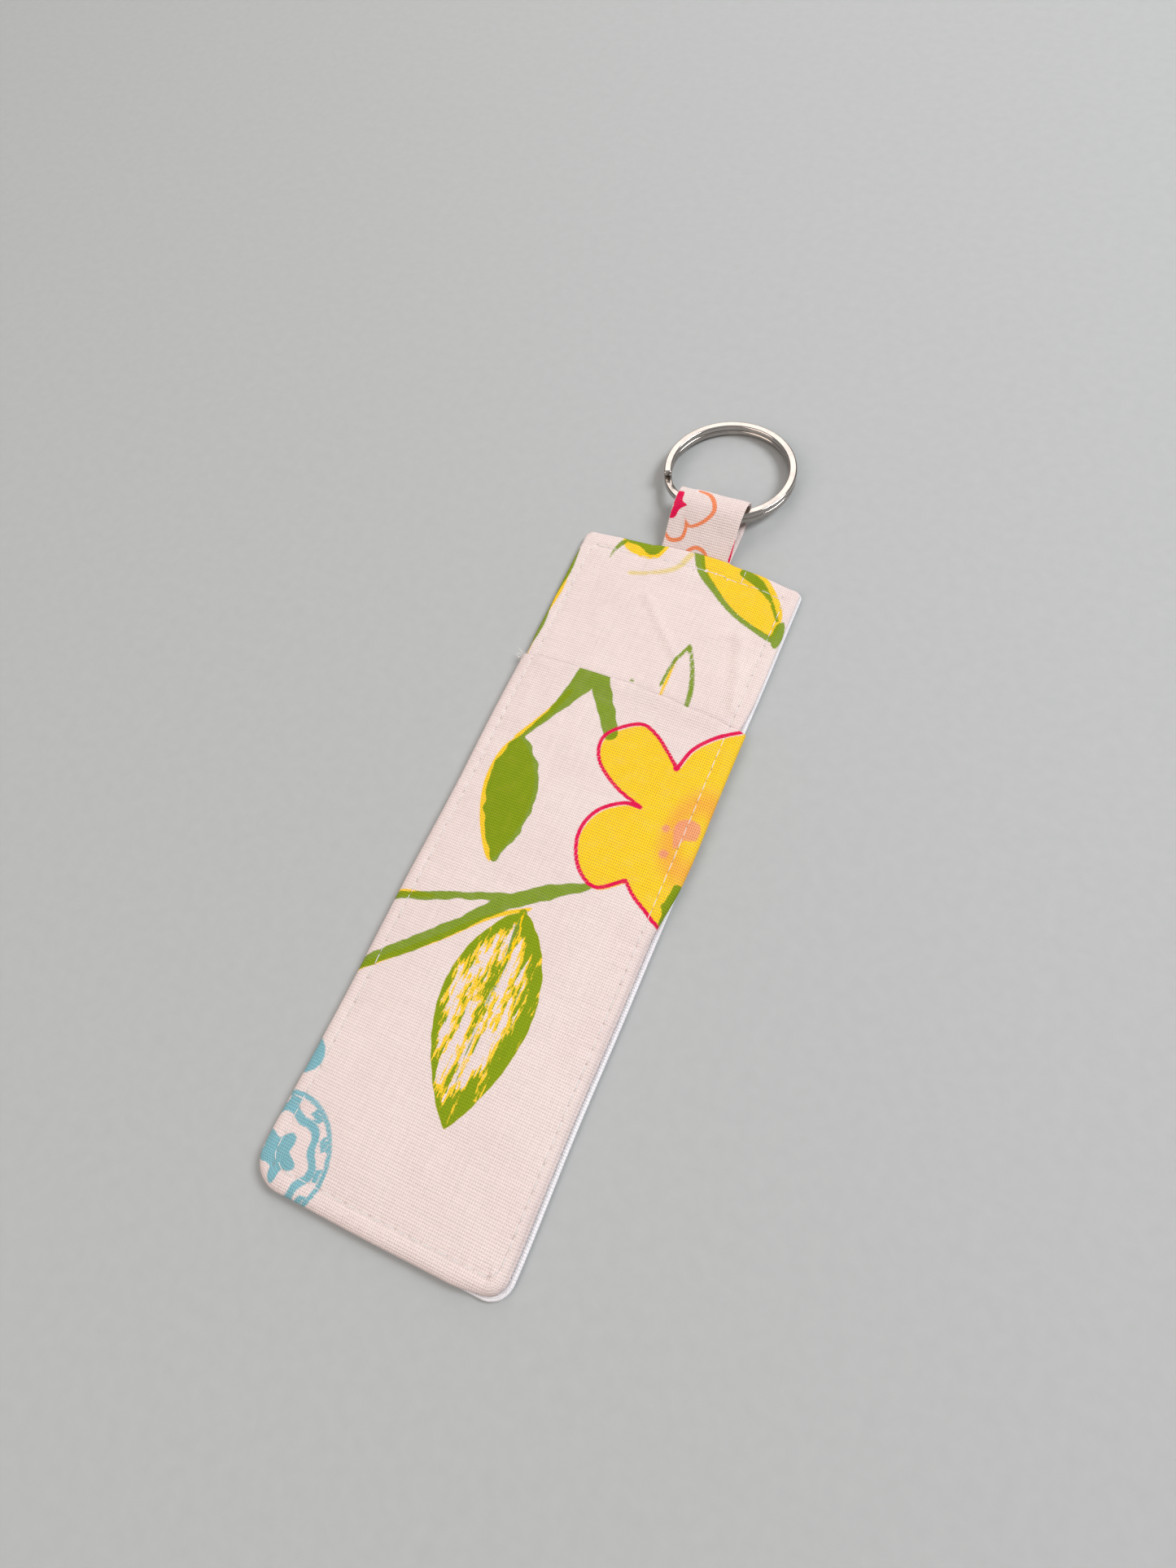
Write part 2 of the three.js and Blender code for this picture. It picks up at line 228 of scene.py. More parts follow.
def solid_faces(rows, columns, flip=False):
    """Faces of a closed solid between a grid and the same grid behind it."""
    count = rows * columns
    index = np.arange(count).reshape(rows, columns)
    rim = np.concatenate([index[0, :], index[1:, -1], index[-1, -2::-1], index[-2:0:-1, 0]])
    nxt = np.roll(rim, -1)
    band = np.stack([rim, rim + count, nxt + count, nxt], -1)
    return np.concatenate([
        grid_faces(rows, columns, flip=flip),
        grid_faces(rows, columns, offset=count, flip=not flip),
        band[:, ::-1] if flip else band,
    ])


def tube_faces(rows, columns):
    """Faces of a tube made of rows of rings, with a cap at each end."""
    faces = [list(f) for f in grid_faces(rows, columns, around=True, flip=True)]
    faces.append(list(range(columns)))
    faces.append(list(range((rows - 1) * columns, rows * columns))[::-1])
    return faces


MATERIALS = {}  # by slot


def make(name, vertices, faces, uv, slot, replaces=(), values=None, body="sleeve"):
    """A smooth mesh in metres, with flat cloth coordinates and named values at its vertices."""
    mesh = bpy.data.meshes.new(name)
    mesh.from_pydata((np.asarray(vertices) * MM).tolist(), [], [list(map(int, f)) for f in faces])
    mesh.validate()
    corner = np.zeros(len(mesh.loops), int)
    mesh.loops.foreach_get("vertex_index", corner)
    layer = mesh.uv_layers.new(name="cloth")
    layer.data.foreach_set("uv", np.asarray(uv, float)[corner].astype(np.float32).ravel())
    for key, value in (values or {}).items():
        attribute = mesh.attributes.new(key, "FLOAT", "POINT")
        attribute.data.foreach_set("value", np.asarray(value, np.float32).ravel())
    mesh.shade_smooth()
    mesh.materials.append(MATERIALS[slot])
    piece = bpy.data.objects.new(name, mesh)
    bpy.context.scene.collection.objects.link(piece)
    if body:
        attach(piece, body)
    if replaces:
        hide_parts(*replaces)
    return piece


def sleeve_cloth(name, points, uv, thickness, side, slot, replaces, values):
    """A closed sheet on the sleeve: the given face, and one `thickness` behind it on the other `side`."""
    rows, columns = points.shape[:2]
    face = points + SLEEVE
    normals = unit(np.cross(np.gradient(face, axis=1), np.gradient(face, axis=0)))
    under = face - side * thickness * normals
    both = {k: np.concatenate([np.ravel(v)] * 2) for k, v in values.items()}
    both["wrong_side"] = np.repeat([0.0, 1.0], rows * columns)
    return make(name, np.concatenate([face.reshape(-1, 3), under.reshape(-1, 3)]),
                solid_faces(rows, columns, flip=side < 0), np.concatenate([uv.reshape(-1, 2)] * 2),
                slot, replaces, both)


# ---- materials ----
class Nodes:
    """A small builder for one node material."""

    def __init__(self, name):
        material = MATERIALS[name] = bpy.data.materials.new(name)
        material.use_nodes = True
        self.tree = material.node_tree
        self.shader = self.tree.nodes["Principled BSDF"]

    def add(self, kind, **settings):
        node = self.tree.nodes.new(kind)
        for key, value in settings.items():
            setattr(node, key, value)
        return node

    def plug(self, socket, value):
        if isinstance(value, bpy.types.NodeSocket):
            self.tree.links.new(value, socket)
        elif value is not None:
            socket.default_value = value

    def fill(self, sockets, values):
        for socket, value in zip(sockets, values):
            self.plug(socket, value)

    def feed(self, node, **values):
        """Sets or links a node's inputs, with _ for a space in their names."""
        for key, value in values.items():
            self.plug(node.inputs[key.replace("_", " ")], value)

    def math(self, operation, a, b=None, c=None):
        node = self.add("ShaderNodeMath", operation=operation)
        self.fill(node.inputs, (a, b, c))
        return node.outputs[0]

    def mix(self, factor, a, b, blend="MIX"):
        node = self.add("ShaderNodeMix", data_type="RGBA", blend_type=blend)
        self.fill((node.inputs[0], node.inputs[6], node.inputs[7]), (factor, a, b))
        return node.outputs[2]

    def value(self, name):
        return self.add("ShaderNodeAttribute", attribute_name=name).outputs["Fac"]

    def flat(self, stretch=(1, 1, 1), shift=None):
        """Flat cloth coordinates in mm, stretched and then shifted."""
        node = self.add("ShaderNodeVectorMath", operation="MULTIPLY")
        self.fill(node.inputs, (self.add("ShaderNodeUVMap", uv_map="cloth").outputs[0], stretch))
        if shift is None:
            return node.outputs[0]
        moved = self.add("ShaderNodeVectorMath", operation="ADD")
        self.fill(moved.inputs, (node.outputs[0], shift))
        return moved.outputs[0]

    def noise(self, vector, scale=1, detail=2, roughness=0.5):
        node = self.add("ShaderNodeTexNoise")
        self.feed(node, Vector=vector, Scale=scale, Detail=detail, Roughness=roughness)
        return node.outputs["Fac"]

    def between(self, value, low, high, start=0, end=1):
        node = self.add("ShaderNodeMapRange", interpolation_type="SMOOTHSTEP")
        self.fill(node.inputs, (value, low, high, start, end))
        return node.outputs[0]

    def bump(self, height, distance, strength=1, normal=None):
        node = self.add("ShaderNodeBump")
        self.feed(node, Strength=strength, Distance=distance, Height=height, Normal=normal)
        return node.outputs[0]


WARP_PITCH, WEFT_PITCH = 0.43, 0.55
GREEN = (0.205, 0.315, 0.003, 1)
YELLOW = (1.0, 0.61, 0.0, 1)
MAGENTA = (0.78, 0.0, 0.075, 1)
ORANGE = (0.93, 0.25, 0.085, 1)
CORAL = (0.86, 0.30, 0.20, 1)
TEAL = (0.11, 0.44, 0.52, 1)
PALE = (0.80, 0.62, 0.18, 1)
# painted shade: the colour the cloth is darkened to in the needle holes' dimples
NEEDLE_HOLE_SHADE = (0.32, 0.25, 0.22, 1)
WARM_WHITE = (0.84, 0.70, 0.665, 1)
COOL_WHITE = (0.94, 0.92, 0.94, 1)


def darker(colour, *factors):
    return tuple(c * k for c, k in zip(colour, (*factors, 1)))


def weave(nodes):
    """Height of a plain weave, 0 to about 1.4, from the flat cloth coordinates."""
    split = nodes.add("ShaderNodeSeparateXYZ")
    nodes.plug(split.inputs[0], nodes.flat())
    drift = nodes.math("SUBTRACT", nodes.noise(nodes.flat(), 0.55), 0.5)
    wobble = nodes.math("MULTIPLY", drift, 0.7)
    u = nodes.math("SINE", nodes.math("MULTIPLY_ADD", split.outputs[0], math.pi / WARP_PITCH, wobble))
    v = nodes.math("SINE", nodes.math("MULTIPLY_ADD", split.outputs[1], math.pi / WEFT_PITCH, wobble))
    crimp = nodes.math("MULTIPLY", nodes.math("MULTIPLY", u, v), 0.42)
    warp = nodes.math("ADD", nodes.math("ABSOLUTE", u), crimp)
    weft = nodes.math("SUBTRACT", nodes.math("ABSOLUTE", v), crimp)
    return nodes.math("MAXIMUM", warp, weft)


def dry_brushed_leaf(nodes, colour):
    """Dry brush streaks that run along the large leaf, with yellow showing at the green's edges."""
    within = nodes.between(nodes.value("leaf"), -0.12, 0.12, 1, 0)
    core = nodes.between(nodes.value("leaf_core"), -1.6, 0.8, 1, 0)
    for ink, shift, low, high, cover in (
            (YELLOW, (3.16, 1.02, 0), 0.455, 0.49, 0.95), (GREEN, (3, 1, 0), 0.525, 0.56, 0.96)):
        long = nodes.noise(nodes.flat((0.62, 0.075, 1), shift), 1, 4, 0.68)
        short = nodes.noise(nodes.flat((1.3, 0.45, 1)), 1, 3, 0.7)
        streaks = nodes.math("MULTIPLY_ADD", short, 0.32, long)
        dense = nodes.math("MULTIPLY_ADD", core, -0.185, streaks)
        inked = nodes.math("MULTIPLY", nodes.between(dense, low, high), within)
        colour = nodes.mix(nodes.math("MULTIPLY", inked, cover), colour, ink)
    return colour


def cotton(name, ground, inks=(), leaf=False, holes=True):
    """Printed plain-weave cotton, with painted shade in the weave's low places and, where `holes` is set,
    round the needle holes; an ink is (vertex value, colour, edge softness, roughness, coverage).
    """
    nodes = Nodes(name)
    height = weave(nodes)
    slub_u = nodes.noise(nodes.flat((2.1, 0.10, 1)))
    slub_v = nodes.noise(nodes.flat((0.12, 2.3, 1)))
    slubs = nodes.math("ADD", slub_u, slub_v)
    blotch = nodes.noise(nodes.flat(), 0.05, 3, 0.6)
    colour = nodes.mix(nodes.between(blotch, 0.3, 0.7), ground, darker(ground, 0.97, 0.955, 0.96))
    right_side = nodes.math("SUBTRACT", 1, nodes.math("MULTIPLY", nodes.value("wrong_side"), 0.75))
    fine = nodes.noise(nodes.flat(), 2.6, 3, 0.65)
    patch = nodes.noise(nodes.flat(), 0.35, 3, 0.6)
    for value, ink, soft, rough, cover in inks:
        shift = nodes.math("MULTIPLY", nodes.math("SUBTRACT", fine, 0.5), rough)
        edge = nodes.between(nodes.math("ADD", nodes.value(value), shift), -soft, soft, cover, 0)
        wear = nodes.between(nodes.math("MULTIPLY_ADD", height, 0.5, patch), 0.45, 0.95, 0.84, 1)
        strength = nodes.math("MULTIPLY", nodes.math("MULTIPLY", edge, wear), right_side)
        # Painted shade: each ink is darker in the weave's low places between the yarns.
        ink_with_gap_shade = nodes.mix(nodes.between(height, 0.3, 0.85), darker(ink, 0.66, 0.62, 0.66), ink)
        colour = nodes.mix(strength, colour, ink_with_gap_shade)
    if leaf:
        colour = dry_brushed_leaf(nodes, colour)
    if holes:
        # Painted shade: the cloth round each needle hole is darkened, standing in for the shade in its
        # dimple.
        hole = nodes.between(nodes.value("needle"), 0.10, 0.36, 0.6, 0)
        colour = nodes.mix(hole, colour, NEEDLE_HOLE_SHADE)
    # Painted shade: the colour is darkened down to 0.77 in the weave's low places between the yarns; the
    # slubs' thread tone multiplied in with it is real.
    weave_gap_shade = nodes.between(height, 0.35, 1.0, 0.77, 1)
    threads = nodes.between(slubs, 0.75, 1.25, 0.97, 1.03)
    tone = nodes.add("ShaderNodeCombineColor")
    nodes.fill(tone.inputs, [nodes.math("MULTIPLY", weave_gap_shade, threads)] * 3)
    fuzz = nodes.bump(nodes.noise(nodes.flat(), 0.9, 4, 0.7), 0.00012)
    yarns = nodes.math("MULTIPLY_ADD", slubs, 0.22, height)
    nodes.feed(
        nodes.shader, Base_Color=nodes.mix(1, colour, tone.outputs[0], "MULTIPLY"),
        Normal=nodes.bump(yarns, 0.00009, 0.9, fuzz),
        Roughness=nodes.between(height, 0.2, 1.2, 0.92, 0.78),
        Sheen_Weight=0.06,
        Sheen_Roughness=0.4,
        Specular_IOR_Level=0.18,
    )


cotton("pocket_cotton", WARM_WHITE, [
    ("yellow", YELLOW, 0.16, 0.5, 0.97),
    ("orange", ORANGE, 1.6, 1.2, 0.45),
    ("coral", CORAL, 0.3, 1.0, 0.8),
    ("green", GREEN, 0.14, 0.35, 0.97),
    ("teal", TEAL, 0.2, 0.9, 0.85),
    ("line", MAGENTA, 0.12, 0.22, 1.0),
], leaf=True)
cotton("front_cotton", WARM_WHITE, [
    ("pale", PALE, 0.3, 0.9, 0.75),
    ("yellow", YELLOW, 0.18, 0.8, 0.97),
    ("green", GREEN, 0.16, 0.7, 0.96),
])
cotton("back_cotton", COOL_WHITE)
cotton("tab_cotton", WARM_WHITE, [
    ("orange", ORANGE, 0.12, 0.3, 0.95),
    ("line", MAGENTA, 0.12, 0.35, 1.0),
], holes=False)


def thread_material():
    """Twisted spun thread: fine slanted strands, with painted shade in the grooves between them, and a little
    fuzz.
    """
    nodes = Nodes("thread")
    twist = nodes.add("ShaderNodeTexWave", wave_type="BANDS", bands_direction="DIAGONAL")
    nodes.feed(twist, Vector=nodes.flat((3.2, 3.2, 1)), Scale=1.1, Distortion=1.2)
    fuzz = nodes.noise(nodes.flat((6, 2, 1)), 1, 3)
    # Painted shade: the darker colour lies in the twist's low bands, the grooves between the strands.
    plies_with_groove_shade = nodes.mix(twist.outputs["Fac"], (0.66, 0.60, 0.57, 1), (0.88, 0.84, 0.81, 1))
    nodes.feed(
        nodes.shader, Base_Color=nodes.mix(fuzz, plies_with_groove_shade, (0.90, 0.87, 0.85, 1)),
        Normal=nodes.bump(twist.outputs["Fac"], 0.00004, 0.8),
        Roughness=nodes.between(fuzz, 0.3, 0.7, 0.45, 0.7),
        Sheen_Weight=0.15,
    )


def fleece_material():
    """Matted white fleece."""
    nodes = Nodes("fleece")
    clumps = nodes.noise(nodes.flat(), 0.5, 5, 0.75)
    hairs = nodes.noise(nodes.flat((2.5, 0.8, 1)), 1, 4, 0.7)
    matted = nodes.mix(clumps, (0.70, 0.67, 0.62, 1), (0.86, 0.84, 0.80, 1))
    nodes.feed(
        nodes.shader, Base_Color=nodes.mix(hairs, matted, (0.90, 0.89, 0.86, 1)),
        Normal=nodes.bump(hairs, 0.0002, 0.7),
        Roughness=nodes.between(clumps, 0.2, 0.8, 0.85, 1),
        Sheen_Weight=0.4,
    )


def nickel_material():
    """Bright nickel plating with drawn lines along the wire, faint clouding and fine scratches."""
    nodes = Nodes("nickel_wire")
    drawn = nodes.noise(nodes.flat((9, 0.12, 1)), 1, 3, 0.6)
    cloud = nodes.noise(nodes.flat(), 0.22, 4, 0.6)
    nicks = nodes.noise(nodes.flat((3, 2.2, 1)), 1, 5, 0.8)
    plating = nodes.mix(nodes.between(cloud, 0.35, 0.7), (0.50, 0.455, 0.42, 1), (0.40, 0.365, 0.34, 1))
    worn = nodes.math("MULTIPLY", nodes.between(nodes.value("edge"), 0.2, 0.9), 0.35)
    scratched = nodes.between(nicks, 0.55, 0.75, 0.08, 0.14)
    clouded = nodes.math("MULTIPLY_ADD", nodes.between(cloud, 0.3, 0.75), 0.05, scratched)
    nodes.feed(
        nodes.shader, Base_Color=nodes.mix(worn, plating, (0.60, 0.55, 0.50, 1)),
        Normal=nodes.bump(drawn, 0.000004, 0.4, nodes.bump(nicks, 0.000004, 0.3)),
        Roughness=clouded,
        Metallic=1,
    )


thread_material()
fleece_material()
nickel_material()


# ---- the topstitching's path ----
def stitch_line():
    """A rounded rectangle inside the sleeve's edges that wanders a little."""
    left, right = -HALF_WIDTH + INSET_LEFT + STITCH_CORNER, HALF_WIDTH - INSET_RIGHT - STITCH_CORNER
    bottom, top = INSET_BOTTOM + STITCH_CORNER, LENGTH - INSET_TOP - STITCH_CORNER
    path = []
    for cx, cy, start in ((right, bottom, -90), (right, top, 0), (left, top, 90), (left, bottom, 180)):
        for a in np.radians(np.linspace(start, start + 90, 9)):
            path.append((cx + STITCH_CORNER * math.cos(a), cy + STITCH_CORNER * math.sin(a)))
    path = np.array([*path, path[0]])
    path[:, 0] += STITCH_WANDER * waves(0, path[:, 1], 30, 3)
    return path


def needle_points(path):
    """Points at an even pitch along a path, as near to the stitch pitch as fits a whole number of times."""
    way = lengths(path)
    count = round(way[-1] / STITCH_PITCH)
    at = np.linspace(0, way[-1], count + 1)
    return np.stack([np.interp(at, way, path[:, k]) for k in (0, 1)], -1), way[-1] / count


stitch_path = stitch_line()
needles, stitch_step = needle_points(stitch_path)


def sewn(x, y):
    """Distance to the topstitching, way along it, and distance to the nearest needle hole."""
    gap, way = to_line(flat_points(x, y), stitch_path)
    phase = np.abs((way / stitch_step + 0.5) % 1 - 0.5) * stitch_step
    return (v.reshape(np.shape(x)) for v in (gap, way, np.hypot(gap, phase)))


def needle_distance(points):
    _, _, needle = sewn(points[..., 0], points[..., 1])
    return needle


# ---- the sleeve's soft relief ----
CREASES = [  # from, to, half width, height
    ((-6, 137), (7, 123), 0.6, 0.46),
    ((-14, 129), (-7, 141), 1.3, 0.34),
    ((17, 133), (21.5, 117), 1.1, 0.5),
    ((8, 119), (17, 130), 1.8, -0.34),
    ((10, 131), (16, 134), 1.2, 0.25),
    ((-20, 24), (-6, 44), 2.4, 0.08),
    ((6, 12), (17, 30), 2.8, 0.09),
    ((-18, 100), (-23, 112), 1.6, 0.10),
]


def tab_bulge(x, y):
    """1 over the loop's sewn-in tails, fading out round them."""
    side = 1 - smooth(np.abs(x - TAB_MIDDLE), TAB_WIDTH / 2 - 0.2, TAB_WIDTH / 2 + 1.6)
    return side * smooth(y, LENGTH - 9.5, LENGTH - 5.5)


def relief(x, y, side):
    """How far a face stands off its flat CAD level. `side` is 1 for the front faces, -1 for the back."""
    gap, way, needle = sewn(x, y)
    from_rim = np.minimum(HALF_WIDTH - np.abs(x), np.minimum(y, LENGTH - y))
    pull = np.exp(-(gap / 1.1) ** 2)
    pucker = np.sin(2 * np.pi * way / stitch_step + 1.3 * waves(way, 0, 17, 5))
    if side < 0:
        lift = 0.22 * pull + 0.05 * np.exp(-gap / 2) * (1 + pucker)
        return lift + 0.10 * smooth(from_rim, 4, 12) * (1 + waves(x, y, 26, 17)) * 0.5
    swell = waves(way, gap * 0.4, 9, 8)
    height = 0.42 * smooth(from_rim, 3, 15) - 0.15 * pull - 0.17 * np.exp(-(needle / 0.42) ** 2)
    height += 0.035 * np.exp(-gap / 1.5) * pucker + 0.10 * np.exp(-gap / 4.5) * swell
    height -= 0.22 * (1 - smooth(from_rim, 0, 3.0))
    height += 0.19 * waves(x, y, 34, 11) * smooth(from_rim, 2, 9) + 0.035 * waves(x, y, 7, 12)
    for start, end, width, rise in CREASES:
        off, _ = to_line(flat_points(x, y), np.array([start, end], float))
        height += rise * np.exp(-(off.reshape(np.shape(x)) / width) ** 2)
    return height + 0.42 * tab_bulge(x, y)


def settle(points):
    """The sleeve's handmade outline: edges that wander, a flared corner, drooping corners, a bulged top."""
    x, y, z = points[..., 0], points[..., 1], points[..., 2]
    out = 0.16 * waves(y, np.sign(x) * 40, 26, 21)
    out += np.where(x < 0, 0.45 * np.exp(-((y - 7) / 13) ** 2), 0.1 * np.exp(-((y - 4) / 9) ** 2))
    sideways = np.sign(x) * out * (np.abs(x) / HALF_WIDTH) ** 2
    droop = 1.15 * smooth(x, 14, 26) * smooth(y, LENGTH - 30, LENGTH)
    droop = droop + 0.5 * smooth(-x, 16, 25) * smooth(y, LENGTH - 12, LENGTH)
    bulge = 0.95 * np.exp(-((x - TAB_MIDDLE - 1) / 12.5) ** 2) * smooth(y, LENGTH - 10, LENGTH)
    wander = 0.12 * waves(x, 0, 22, 23) * (1 - smooth(y, 0, 25))
    wander = wander + 0.1 * waves(x, 0, 15, 24) * smooth(y, MIDDLE, LENGTH)
    return np.stack([x + sideways, y - droop + bulge + wander, z], -1)


# ---- panels: a face, its rolled rim, and the allowance that turns in along the seam ----
RIM_ROLL = 0.42  # radius that the cloth turns round at the seam
FACE_REACH = 30.0  # further in than any face goes
EXCESS_AT = 10.0  # well inside the rim, where its extra length is measured
TAILS_LIFT, TAILS_DROP = 0.62, 0.50  # how far the loop's tails part the seam


def rim_section(face_z, seam_z, reach):
    """The section across a rim: flat distance from the seam's fold, inset from the outline, and height."""
    side = np.sign(face_z - seam_z)
    knee = seam_z + side * RIM_ROLL
    points = [(ALLOWANCE, seam_z + side * 0.34), (RIM_ROLL + 0.5, seam_z + side * 0.30),
              (RIM_ROLL + 0.12, seam_z + side * 0.16)]
    seam_fold = len(points)
    points += [(RIM_ROLL * (1 - math.sin(a)), knee - side * RIM_ROLL * math.cos(a))
               for a in np.linspace(0, math.pi / 2, 6)]
    points += [(reach * (1 - math.cos(a)), knee + (face_z - knee) * math.sin(a) ** 0.9)
               for a in np.linspace(0, math.pi / 2, 13)[1:]]
    points = np.array([*points, (FACE_REACH, face_z)])
    way = lengths(points)
    return way - way[seam_fold], points[:, 0], points[:, 1], seam_fold


class Panel:
    """Maps flat cloth coordinates to the sewn shape."""

    def __init__(self, face_z, seam_z, reach, inset, side=1):
        self.face_z, self.seam_z, self.inset, self.side = face_z, seam_z, inset, side
        self.way, self.draw, self.height, fold = rim_section(face_z, seam_z, reach)
        self.excess = np.interp(EXCESS_AT, self.draw[fold:], self.way[fold:]) - EXCESS_AT
        self.allowance = -self.way[0]

    def points(self, u, v):
        """u is from the middle, v from the bottom edge; both run on round the rims."""
        inset = self.inset(u, v)
        half_w, half_l = HALF_WIDTH - inset, MIDDLE - inset
        side_x, side_y = np.where(u < 0, -1, 1), np.where(v < MIDDLE, -1, 1)
        au, av = np.abs(u), np.abs(v - MIDDLE)
        sx, sy = half_w + self.excess - au, half_l + self.excess - av
        s = np.minimum(sx, sy)
        draw, z = np.interp(s, self.way, self.draw), np.interp(s, self.way, self.height)
        bottom = np.where(side_x < 0, CORNER_BOTTOM_LEFT, CORNER_BOTTOM_RIGHT)
        corner = np.where(side_y > 0, CORNER_TOP, bottom) - inset
        radius = np.where(s < 0, np.maximum(corner - draw, 0.4), np.maximum(corner - draw, 0))
        centre = np.where(s < 0, draw + radius, np.maximum(corner, draw))
        # Round a corner, the way along the smaller of the two distances becomes an angle.
        kx, ky = corner + self.excess - sx, corner + self.excess - sy
        in_corner = (kx > 0) & (ky > 0)
        phi = np.pi / 4 * np.minimum(kx, ky) / np.maximum(np.maximum(kx, ky), 1e-9)
        phi = np.where(kx >= ky, phi, np.pi / 2 - phi)

        def sewn_place(half, flat, turn, on_rim):
            # The turned-in allowance is drawn together to fit inside the outline.
            shrink = np.where(s < 0, (half - centre) / (half - corner), 1)
            return np.where(in_corner, half - centre + radius * turn,
                            np.where(on_rim, half - draw, flat * shrink))

        ax = sewn_place(half_w, au, np.cos(phi), sx <= sy)
        ay = sewn_place(half_l, av, np.sin(phi), sx > sy)
        deep = (sx > corner + self.excess) & (sy > corner + self.excess)
        x, y = side_x * np.where(deep, au, ax), side_y * np.where(deep, av, ay) + MIDDLE
        on_face = np.clip((z - self.seam_z) / (self.face_z - self.seam_z), 0, 1) * (s > 0)
        grip = tab_bulge(x, y) * smooth(y, LENGTH - 8, LENGTH - 4)
        part = grip * (1 - on_face) * (TAILS_LIFT if self.side > 0 else -TAILS_DROP)
        return settle(np.stack([x, y, z + relief(x, y, self.side) * on_face ** 1.5 + part], -1))

    def normals(self, u, v, step=0.05):
        """Outward directions."""
        along = self.points(u + step, v) - self.points(u - step, v)
        return self.side * unit(np.cross(along, self.points(u, v + step) - self.points(u, v - step)))


def stations(half, panel, fine, coarse):
    """Flat coordinates from the middle outwards: even on the face, close round the rim, five on the flap."""
    edge = half + panel.excess
    rim = edge - 6
    face = np.linspace(0, rim, max(2, math.ceil(rim / coarse)))
    roll = np.linspace(rim, edge, math.ceil((edge - rim) / fine))
    flap = edge + panel.allowance * np.linspace(0, 1, 6) ** 1.5
    return np.concatenate([face, roll[1:], flap[1:]])


def mirrored(values):
    return np.concatenate([-values[:0:-1], values])


# ---- the print, in flat cloth coordinates ----
def leaf_outline(base, tip, left, right, bend=0.0):
    """A pointed leaf: half widths to its left and right, seen from the base, and its axis's bend."""
    base, tip = np.array(base, float), np.array(tip, float)
    axis = tip - base
    normal = np.array([-axis[1], axis[0]]) / np.linalg.norm(axis)
    t = np.linspace(0, 1, 24)
    spine = base + t[:, None] * axis + (bend * np.sin(np.pi * t))[:, None] * normal
    width = (np.sin(np.pi * t ** 0.85) ** 0.8)[:, None] * normal
    return np.concatenate([spine + left * width, (spine - right * width)[-2:0:-1]])


def rosette(p, x, y):
    """A round rosette: a ring, a wavy band, dashes between them, and a five-lobed middle."""
    flat = 0.92
    away = np.hypot(p[:, 0] - x, (p[:, 1] - y) * flat)
    angle = np.arctan2(p[:, 1] - y, p[:, 0] - x)
    return nearest(
        np.abs(away - 10) - 0.42,
        np.abs(away - 7.2 - 0.5 * np.cos(7 * angle)) - 0.75,
        away - 3.6 - 0.9 * np.cos(5 * angle + 0.6),
        np.abs(away - 8.9) - 0.5 + np.where(np.cos(11 * angle) > 0.1, 0, FAR))


